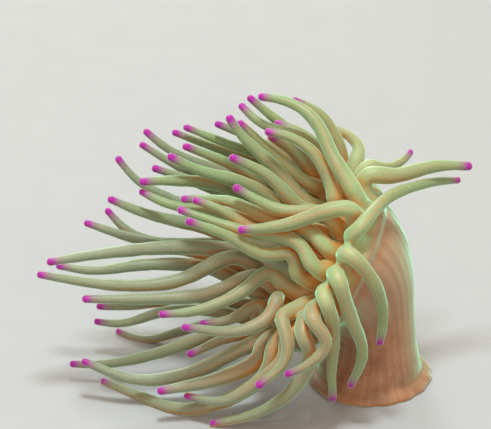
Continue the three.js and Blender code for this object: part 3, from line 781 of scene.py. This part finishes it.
def read_all(items, name, kind, size=1):
    values = np.empty(len(items) * size, kind)
    items.foreach_get(name, values)
    return values


def mesh_points(mesh):
    return read_all(mesh.vertices, "co", np.float32, 3).reshape(-1, 3).astype(float) / MM


def value_layer(mesh, name):
    return mesh.attributes.get(name) or mesh.attributes.new(name, "FLOAT", "POINT")


def write_value(mesh, name, values):
    value_layer(mesh, name).data.foreach_set("value", values.astype(np.float32))


def read_value(mesh, name):
    return read_all(value_layer(mesh, name).data, "value", np.float32)


def places_round_axis(points):
    """Each point's direction from the column's axis, which runs on through the disc, and its run.

    The direction is a pair of numbers on the unit circle; the run is the distance along the axis.
    """
    shares = np.linspace(0, 1, AXIS_SAMPLES)
    disc_part = np.linspace(0, 1, DISC_SAMPLES + 1)[1:, None]
    centres = np.vstack((column_point(shares), mix(COLUMN_TOP, CROWN_CENTRE, disc_part)))
    tangents = np.vstack((column_tangent(shares), np.tile(CROWN_AXIS, (DISC_SAMPLES, 1))))
    normals = normals_along(tangents, ACROSS)
    sides = np.stack((normals, np.cross(tangents, normals)), axis=1)
    run = run_along(centres)
    best = np.full(len(points), np.inf)
    closest = np.zeros(len(points), int)
    for k, centre in enumerate(centres):
        apart = lengths(points - centre)
        closest = np.where(apart < best, k, closest)
        best = np.minimum(best, apart)
    offsets = points - centres[closest]
    run = run[closest] + (offsets * tangents[closest]).sum(axis=1)
    return unit((sides[closest] * offsets[:, None]).sum(axis=2) + TINY), run


def body_values(points, tentacles):
    """What each point carries, by its place on the body and on the root nearest to it."""
    samples = np.linspace(0, ROOT_END, ROOT_SAMPLES)
    best = np.full(len(points), np.inf)
    owner = np.full(len(points), -1.0)
    from_root = np.zeros(len(points))
    to_tip = np.full(len(points), NO_TIP)
    tone = np.full(len(points), NO_TONE)
    turn = np.zeros((len(points), 2))
    for one in tentacles:
        centres = one.curve.at_distance(samples)
        tangents = one.curve.tangents(samples)
        sides = np.stack(one.frames(samples), axis=1)
        index = np.nonzero(lengths(points - centres[ROOT_SAMPLES // 2]) < ROOT_END)[0]
        apart = lengths(points[index][:, None] - centres[None])
        closest = apart.argmin(axis=1)
        clear = apart.min(axis=1) - one.radius_at(samples[closest], one.curve.length)
        better = clear < best[index]
        index, closest, clear = index[better], closest[better], clear[better]
        offsets = points[index] - centres[closest]
        best[index] = clear
        owner[index] = one.number
        from_root[index] = samples[closest] + (offsets * tangents[closest]).sum(axis=1)
        to_tip[index] = one.curve.length - from_root[index]
        tone[index] = one.tone
        turn[index] = unit((sides[closest] * offsets[:, None]).sum(axis=2) + TINY)
    tentacle = (1 - smoothstep(*CLEAR_EDGE, best)) * smoothstep(*BASE_EDGE, from_root)
    around, run = places_round_axis(points)
    height = (points - CROWN_CENTRE) @ CROWN_AXIS
    from_centre = lengths(points - CROWN_CENTRE)
    from_axis = np.sqrt(np.maximum(from_centre ** 2 - height ** 2, 0.0))
    return {
        "owner": owner,
        "from_root": from_root,
        "to_tip": to_tip,
        "tone": tone,
        "tentacle": tentacle,
        "turn_x": turn[:, 0],
        "turn_y": turn[:, 1],
        "around_x": around[:, 0],
        "around_y": around[:, 1],
        "run": run,
        "column": smoothstep(*COLUMN_EDGE, height) * (1 - tentacle),
        "mouth": 1 - smoothstep(*MOUTH_EDGE, from_centre),
        "side": smoothstep(*SIDE_EDGE, from_axis),
        "lowness": smoothstep(TONE_HEIGHTS[1], TONE_HEIGHTS[0], points[:, 2]),
    }


def mark_body(mesh, tentacles, chosen=slice(None)):
    """Writes what the chosen points carry."""
    for name, values in body_values(mesh_points(mesh)[chosen], tentacles).items():
        whole = read_value(mesh, name)
        whole[chosen] = values
        write_value(mesh, name, whole)


def mark_seams(mesh, tentacles):
    """The points that the union adds, where a tentacle leaves its root, carry nothing yet."""
    blank = (read_value(mesh, "tentacle") == 0) & (read_value(mesh, "to_tip") == 0)
    mark_body(mesh, tentacles, blank)


def drop_specks(mesh):
    """Keeps the one skin and drops the single cells that the remeshing leaves apart from it."""
    fine = bmesh.new()
    fine.from_mesh(mesh)
    found = {min(fine.verts, key=lambda point: point.co.x)}
    reached = list(found)
    while reached:
        for edge in reached.pop().link_edges:
            for point in edge.verts:
                if point not in found:
                    found.add(point)
                    reached.append(point)
    specks = [point for point in fine.verts if point not in found]
    bmesh.ops.delete(fine, geom=specks, context="VERTS")
    fine.to_mesh(mesh)
    fine.free()


def smooth_seams(skin):
    """Evens out the line along which each tentacle leaves its root."""
    from_root = read_value(skin.data, "from_root")
    weight = smoothstep(*SEAM_START, from_root) * (1 - smoothstep(*SEAM_END, from_root))
    weight = weight * (read_value(skin.data, "tentacle") > MOSTLY)
    band = skin.vertex_groups.new(name="seam")
    for k in np.nonzero(weight > LEAST_WEIGHT)[0]:
        band.add([int(k)], float(weight[k]), "REPLACE")
    modify(skin, "SMOOTH", factor=SMOOTHING_RATE, iterations=SEAM_SMOOTHING, vertex_group=band.name)
    skin.vertex_groups.clear()


def level_floor(mesh):
    """Lays the points that are almost on the floor, or under it, on the floor."""
    points = mesh_points(mesh)
    points[:, 2] = np.where(points[:, 2] < FLOOR_SNAP, 0.0, points[:, 2])
    mesh.vertices.foreach_set("co", (points * MM).astype(np.float32).ravel())
    mesh.update()


def build_skin(tentacles):
    body = remeshed_body(tentacles)
    mark_body(body.data, tentacles)
    tubes = bpy.data.collections.new("tubes")
    for one in tentacles:
        phases = draw.uniform(0, math.tau, len(SWELLS))
        tubes.objects.link(bpy.data.objects.new("tube", tentacle_tube(one, phases)))
    modify(body, "BOOLEAN", operation="UNION", operand_type="COLLECTION", collection=tubes,
           solver="MANIFOLD")
    for tube in list(tubes.objects):
        bpy.data.meshes.remove(tube.data)
    bpy.data.collections.remove(tubes)
    drop_specks(body.data)
    mark_seams(body.data, tentacles)
    smooth_seams(body)
    level_floor(body.data)
    body.data.shade_smooth()
    return body


# ---------- the skin's map
# The map's page in millimetres. The tentacles are upright strips in three rows, and over them lie
# the column unrolled, the disc's face and underside, and the pedal disc's sole.
PAGE = 670.0
PAGE_INSET = 3.0
STRIPS_IN_ROW = 19
STRIP_STEP = 35.0
STRIP_WIDTH = 31.0
STRIP_INSET = 2.0
CHART_GAP = 4.0
COLUMN_WIDTH = 270.0
FACE_SIZE = 2 * (DISC_RADIUS + CHART_GAP)
SLACK = 1.0  # how far a face may be past the edge of the part whose chart it goes on
DOWNWARDS = -0.7  # the highest normal of a face of the sole
POLE_REACH = 0.01  # nearer the tip, a point has no direction from the centreline


def strip_corners(tentacles):
    """The lower left corner of each tentacle's strip, the longest in the lowest row."""
    longest_first = sorted(tentacles, key=lambda one: -one.curve.length)
    corners = np.zeros((len(tentacles), 2))
    height = 0.0
    for start in range(0, len(tentacles), STRIPS_IN_ROW):
        row = longest_first[start:start + STRIPS_IN_ROW]
        for k, one in enumerate(row):
            corners[one.number] = (k * STRIP_STEP + STRIP_INSET, height)
        height += row[0].curve.length + CHART_GAP
    return corners, height


def unrolled(angles, counted, starts, counts):
    """The angles as shares of a turn, with no face torn where the turns begin.

    Each face is kept round the middle angle of those of its corners that count.
    """
    cosines = np.add.reduceat(np.cos(angles) * counted, starts)
    sines = np.add.reduceat(np.sin(angles) * counted, starts)
    middles = np.repeat(np.arctan2(sines, cosines) % math.tau, counts)
    off = (angles - middles + math.pi) % math.tau - math.pi
    return (middles + off * counted) / math.tau


def strip_places(mesh, corner, starts, counts, strip_starts):
    """Which face corners are on a tentacle, and where each would be in its tentacle's strip."""
    owner = np.rint(read_value(mesh, "owner")).astype(int)[corner]
    share = read_value(mesh, "tentacle")[corner]
    one_owner = np.minimum.reduceat(owner, starts) == np.maximum.reduceat(owner, starts)
    in_strip = one_owner & (np.minimum.reduceat(share, starts) > MOSTLY)
    turn = np.arctan2(read_value(mesh, "turn_y"), read_value(mesh, "turn_x"))[corner]
    counted = read_value(mesh, "to_tip")[corner] > POLE_REACH
    across = unrolled(turn, counted, starts, counts) * STRIP_WIDTH
    along = read_value(mesh, "from_root")[corner]
    return np.repeat(in_strip, counts), strip_starts[owner] + np.column_stack((across, along))


def body_places(points, downwards, starts, counts):
    """Where each face corner would be on the body's charts: column, face, underside or sole."""
    around, run = places_round_axis(points)
    across = unrolled(np.arctan2(around[:, 1], around[:, 0]), np.ones(len(points)), starts, counts)
    outward = lengths(points[:, :2])
    flange = np.where(points[:, 2] < FOOT_HEIGHT + SLACK, np.maximum(outward - FOOT_TOP_RADIUS, 0), 0)
    columns = np.column_stack((across * COLUMN_WIDTH + CHART_GAP, run - flange + 2 * CHART_GAP))

    from_centre = points - CROWN_CENTRE
    face = np.column_stack((from_centre @ CROWN_UP, from_centre @ CROWN_FAR)) + FACE_SIZE / 2
    face[:, 0] += COLUMN_WIDTH + 3 * CHART_GAP
    under = face * (1, -1) + (0, 2 * FACE_SIZE + CHART_GAP)
    sole = points[:, :2] + FOOT_RADIUS + CHART_GAP
    sole[:, 0] += COLUMN_WIDTH + FACE_SIZE + 4 * CHART_GAP

    height = from_centre @ CROWN_AXIS
    lowest = np.minimum.reduceat(height, starts)
    beside = lengths(from_centre - height[:, None] * CROWN_AXIS)
    on_face = lowest > -DISC_THICKNESS / 2
    on_under = np.minimum.reduceat(beside, starts) > COLUMN_TOP_RADIUS - SLACK
    on_under &= (lowest > -DISC_THICKNESS - SLACK) & (np.maximum.reduceat(height, starts) < 0)
    on_sole = downwards & (np.maximum.reduceat(points[:, 2], starts) < SLACK)
    placed = columns
    for on_chart, chart in ((on_under, under), (on_face, face), (on_sole, sole)):
        placed = np.where(np.repeat(on_chart, counts)[:, None], chart, placed)
    return placed


def unwrap(mesh, tentacles):
    corner = read_all(mesh.loops, "vertex_index", int)
    starts = read_all(mesh.polygons, "loop_start", int)
    counts = read_all(mesh.polygons, "loop_total", int)
    downwards = read_all(mesh.polygons, "normal", np.float32, 3)[2::3] < DOWNWARDS
    strip_starts, body_height = strip_corners(tentacles)
    in_strip, strips = strip_places(mesh, corner, starts, counts, strip_starts)
    body = body_places(mesh_points(mesh)[corner], downwards, starts, counts) + (0, body_height)
    placed = (np.where(in_strip[:, None], strips, body) + PAGE_INSET) / PAGE
    charts = mesh.uv_layers.new(name=UV_NAME)
    charts.uv.foreach_set("vector", placed.astype(np.float32).ravel())


# ---------- colours and surface
def srgb(red, green, blue):
    """A colour given in 0 to 255 as an RGBA in linear light."""
    def linear(part):
        part /= 255
        return part / 12.92 if part <= 0.04045 else ((part + 0.055) / 1.055) ** 2.4

    return (linear(red), linear(green), linear(blue), 1.0)


OLIVE = srgb(112, 138, 98)
WARM = srgb(172, 128, 92)
PALE = srgb(160, 192, 144)
GREY_GREEN = srgb(116, 127, 110)
TIP = srgb(150, 0, 142)
LILAC = srgb(134, 88, 122)
DISC = srgb(138, 102, 56)
LIPS = srgb(132, 60, 44)
SIDE_HIGH = srgb(150, 166, 124)
SIDE_LOW = srgb(142, 132, 106)
COLUMN = srgb(154, 98, 74)
COLUMN_PALE = srgb(168, 122, 94)
COLUMN_BLOTCH_AND_SHADE = srgb(118, 62, 44)
# Painted shade: a glowing orange-brown laid into the colour in the gaps and crevices between tentacles and
# under the crown, where shade falls.
PAINTED_GAP_SHADE = srgb(196, 118, 22)
SHEEN_TINT = (0.4, 1.0, 0.7, 1.0)
STREAKS = 2.6  # how fine the streaks are across a tentacle
STREAK_LENGTH = 40.0
STRIPES = 9.0  # how fine the stripes are round the column and the disc
STRIPE_LENGTH = 45.0
TONE_SHIFT = 40.0  # sets the streaks of tentacles of different tones apart
BLOTCHES = 60.0  # scales of the patterns that lie all over the flesh
SPECKLES = 900.0
PORES = 600.0
# Distances over which a colour comes in: from the root, from the tip, and up the body's axis, where it is
# painted shade that deepens towards the foot.
WARM_FADE = (100.0, 20.0)
PALE_FADE = (42.0, 5.0)
LILAC_FADE = (12.0, 4.0)
TIP_FADE = (6.5, 2.5)
FOOT_PAINTED_SHADE_FADE = (70.0, 5.0)
PAINTED_SHADE_FADE = (0.65, 0.18)  # shares of open space round a point, over which the painted shade comes in
PAINTED_SHADE_REACH = 0.02  # in metres, how far round a point the painted shade looks for other flesh


class Nodes:
    """A new material's node tree, with one short call for each kind of node that it uses."""

    def __init__(self, name):
        self.material = bpy.data.materials.new(name)
        self.material.use_nodes = True
        self.tree = self.material.node_tree
        self.tree.nodes.clear()

    def add(self, kind, inputs=(), **settings):
        node = self.tree.nodes.new(kind)
        for name, value in settings.items():
            setattr(node, name, value)
        for socket, value in dict(inputs).items():
            self.feed(node.inputs[socket], value)
        return node

    def feed(self, socket, value):
        if isinstance(value, bpy.types.NodeSocket):
            self.tree.links.new(value, socket)
        else:
            socket.default_value = value

    def value(self, name):
        return self.add("ShaderNodeAttribute", attribute_name=name).outputs["Fac"]

    def math(self, operation, a, b=0.0, c=0.0):
        return self.add("ShaderNodeMath", {0: a, 1: b, 2: c}, operation=operation).outputs[0]

    def times(self, a, b):
        return self.math("MULTIPLY", a, b)

    def vector(self, x, y=0.0, z=0.0):
        return self.add("ShaderNodeCombineXYZ", {0: x, 1: y, 2: z}).outputs[0]

    def place(self):
        return self.add("ShaderNodeTexCoord").outputs["Object"]

    def ramp(self, value, low, high, out_low=0.0, out_high=1.0):
        inputs = {"Value": value, "From Min": low, "From Max": high, "To Min": out_low, "To Max": out_high}
        return self.add("ShaderNodeMapRange", inputs, interpolation_type="SMOOTHSTEP").outputs["Result"]

    def blend(self, share, first, second):
        """A mix of two colours, whose sockets are known by number only."""
        inputs = {"Factor": share, 6: first, 7: second}
        return self.add("ShaderNodeMix", inputs, data_type="RGBA").outputs[2]

    def noise(self, scale, detail, coordinates):
        inputs = {"Scale": scale, "Detail": detail, "Vector": coordinates}
        return self.add("ShaderNodeTexNoise", inputs).outputs["Fac"]

    def finished(self, inputs):
        """The material, with a Principled shader that has these inputs."""
        shader = self.add("ShaderNodeBsdfPrincipled", inputs)
        self.add("ShaderNodeOutputMaterial", {"Surface": shader.outputs[0]})
        return self.material


def tentacle_colour(nodes):
    """Olive or grey-green, with warm streaks and a pale root."""
    from_root = nodes.value("from_root")
    tone = nodes.value("tone")
    lengthwise = nodes.vector(
        nodes.times(nodes.value("turn_x"), STREAKS),
        nodes.times(nodes.value("turn_y"), STREAKS),
        nodes.math("MULTIPLY_ADD", nodes.value("to_tip"), 1 / STREAK_LENGTH, nodes.times(tone, TONE_SHIFT)),
    )
    streaks = nodes.noise(1.0, 3.0, lengthwise)
    colour = nodes.blend(nodes.ramp(tone, 0.0, 1.0), OLIVE, GREY_GREEN)
    streaked = nodes.ramp(streaks, 0.38, 0.62, 0.3, 1.0)
    warmth = nodes.times(streaked, nodes.ramp(from_root, *WARM_FADE, 0.15, 0.7))
    colour = nodes.blend(warmth, colour, WARM)
    rooted = nodes.ramp(from_root, *PALE_FADE, 0.0, 0.65)
    paleness = nodes.times(rooted, nodes.ramp(tone, 0.8, 0.2, 0.15, 1.0))
    return nodes.blend(paleness, colour, PALE)


def disc_colour(nodes, stripes, blotches):
    """Brown and pale rays on the face, with dark lips, and green to tan at the side."""
    colour = nodes.blend(nodes.ramp(stripes, 0.4, 0.6), DISC, PALE)
    colour = nodes.blend(nodes.value("mouth"), colour, LIPS)
    side = nodes.blend(nodes.value("lowness"), SIDE_HIGH, SIDE_LOW)
    side = nodes.blend(nodes.ramp(blotches, 0.35, 0.7, 0.0, 0.4), side, WARM)
    return nodes.blend(nodes.value("side"), colour, side)


def column_colour(nodes, run, stripes, blotches):
    """Reddish brown with faint pale stripes, and dark blotches that grow towards the foot: a mottling of
    the column, and painted shade low down.
    """
    colour = nodes.blend(nodes.ramp(stripes, 0.2, 0.8), COLUMN, COLUMN_PALE)
    # Painted shade: the dark blotches deepen towards the foot, low under the crown.
    blotches_and_painted_shade = nodes.times(nodes.ramp(blotches, 0.3, 0.8), nodes.ramp(run, *FOOT_PAINTED_SHADE_FADE, 0.1, 0.8))
    return nodes.blend(blotches_and_painted_shade, colour, COLUMN_BLOTCH_AND_SHADE)


def flesh_material():
    nodes = Nodes("flesh")
    place = nodes.place()
    run = nodes.value("run")
    to_tip = nodes.value("to_tip")
    upwards = nodes.vector(
        nodes.times(nodes.value("around_x"), STRIPES),
        nodes.times(nodes.value("around_y"), STRIPES),
        nodes.times(run, 1 / STRIPE_LENGTH),
    )
    stripes = nodes.noise(1.0, 1.5, upwards)
    blotches = nodes.noise(BLOTCHES, 3.0, place)
    speckle = nodes.noise(SPECKLES, 2.0, place)

    colour = disc_colour(nodes, stripes, blotches)
    colour = nodes.blend(nodes.value("tentacle"), colour, tentacle_colour(nodes))
    body = column_colour(nodes, run, stripes, blotches)
    colour = nodes.blend(nodes.value("column"), colour, body)
    colour = nodes.blend(nodes.ramp(speckle, 0.35, 0.7, 0.0, 0.12), colour, PALE)
    colour = nodes.blend(nodes.times(nodes.ramp(to_tip, *LILAC_FADE), 0.8), colour, LILAC)
    colour = nodes.blend(nodes.ramp(to_tip, *TIP_FADE), colour, TIP)
    # Painted shade: where little open space is round a point, the colour turns to the warm painted shade of
    # the gaps.
    openness_for_painted_shade = nodes.add("ShaderNodeAmbientOcclusion", {"Distance": PAINTED_SHADE_REACH}, samples=6)
    colour = nodes.blend(nodes.ramp(openness_for_painted_shade.outputs["AO"], *PAINTED_SHADE_FADE), colour, PAINTED_GAP_SHADE)

    rings = nodes.add("ShaderNodeTexWave", {
        "Vector": nodes.vector(nodes.times(to_tip, 0.1)),
        "Scale": 1.2, "Distortion": 2.0, "Detail": 1.0,
    }).outputs["Fac"]
    height = nodes.math("MULTIPLY_ADD", rings, 0.25, nodes.noise(PORES, 3.0, place))
    bump = nodes.add("ShaderNodeBump", {"Strength": 0.22, "Distance": 0.0004, "Height": height})
    return nodes.finished({
        "Base Color": colour,
        "Roughness": nodes.ramp(speckle, 0.3, 0.7, 0.38, 0.52),
        "Normal": bump.outputs["Normal"],
        "Subsurface Weight": 0.5,
        "Subsurface Radius": (1.0, 0.5, 0.2),
        "Subsurface Scale": 0.005,
        "Sheen Weight": 1.0,
        "Sheen Roughness": 0.4,
        "Sheen Tint": SHEEN_TINT,
        "Specular IOR Level": 0.3,
    })


# ---------- stage
FLOOR_SIZE = 8.0
FLOOR_COLOUR = srgb(157, 158, 164)
FLOOR_GRAIN = 40.0
CAMERA_AIM = ACROSS * -75.3 + RISE * 97.5 + NEAR * 45.0
CAMERA_DISTANCE = 3000.0
LENS = 366.6
WORLD_COLOUR = (1.0, 0.84, 0.66, 1.0)
WORLD_STRENGTH = 1.0
# Name, place and size in metres, watts and colour.
LIGHTS = (
    ("key", (-0.12, -0.22, 1.3), 0.25, 15.5, (0.86, 1.0, 0.97)),
    ("front", (0.1, -1.6, 0.9), 0.5, 6.0, (1.0, 0.86, 0.7)),
    ("back", (-0.3, 1.3, 0.7), 0.5, 11.0, (0.88, 1.0, 0.92)),
)


def look_at(piece, place, target):
    piece.location = place
    piece.rotation_euler = (Vector(target) - Vector(place)).to_track_quat("-Z", "Y").to_euler()


def add_camera():
    camera = add_to_scene("camera", bpy.data.cameras.new("camera"))
    camera.data.lens = LENS
    look_at(camera, (CAMERA_AIM + NEAR * CAMERA_DISTANCE) * MM, CAMERA_AIM * MM)
    bpy.context.scene.camera = camera


def add_light(name, place, size, watts, colour):
    light = bpy.data.lights.new(name, "AREA")
    light.shape = "DISK"
    light.size = size
    light.energy = watts
    light.color = colour
    look_at(add_to_scene(name, light), place, CAMERA_AIM * MM)


def add_floor():
    half = FLOOR_SIZE / 2
    mesh = bpy.data.meshes.new("floor")
    corners = [(-half, -half, 0), (half, -half, 0), (half, half, 0), (-half, half, 0)]
    mesh.from_pydata(corners, [], [(0, 1, 2, 3)])
    floor = add_to_scene("floor", mesh)
    nodes = Nodes("floor")
    grain = nodes.noise(FLOOR_GRAIN, 4.0, nodes.place())
    mesh.materials.append(nodes.finished({
        "Base Color": FLOOR_COLOUR,
        "Roughness": nodes.ramp(grain, 0.3, 0.7, 0.85, 0.95),
    }))


def add_stage():
    add_floor()
    world = bpy.data.worlds.new("world")
    bpy.context.scene.world = world
    world.use_nodes = True
    background = world.node_tree.nodes["Background"].inputs
    background["Color"].default_value = WORLD_COLOUR
    background["Strength"].default_value = WORLD_STRENGTH
    for light in LIGHTS:
        add_light(*light)


# ---------- the model
tentacles = [Tentacle(ring, place, *row) for *ring, rows in RINGS for place, row in rows.items()]
settle(tentacles)
for number, one in enumerate(tentacles):
    one.number = number
    lowness = smoothstep(TONE_HEIGHTS[1], TONE_HEIGHTS[0], one.root[2])
    one.tone = mix(float(lowness), draw.uniform(), TONE_CHANCE)
skin = build_skin(tentacles)
unwrap(skin.data, tentacles)
skin.data.materials.clear()  # the modifiers leave an empty slot
skin.data.materials.append(flesh_material())
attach(skin, "root")
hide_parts(*sorted(frame["nodes"]))
add_stage()
add_camera()
bpy.context.scene.view_settings.view_transform = "Standard"
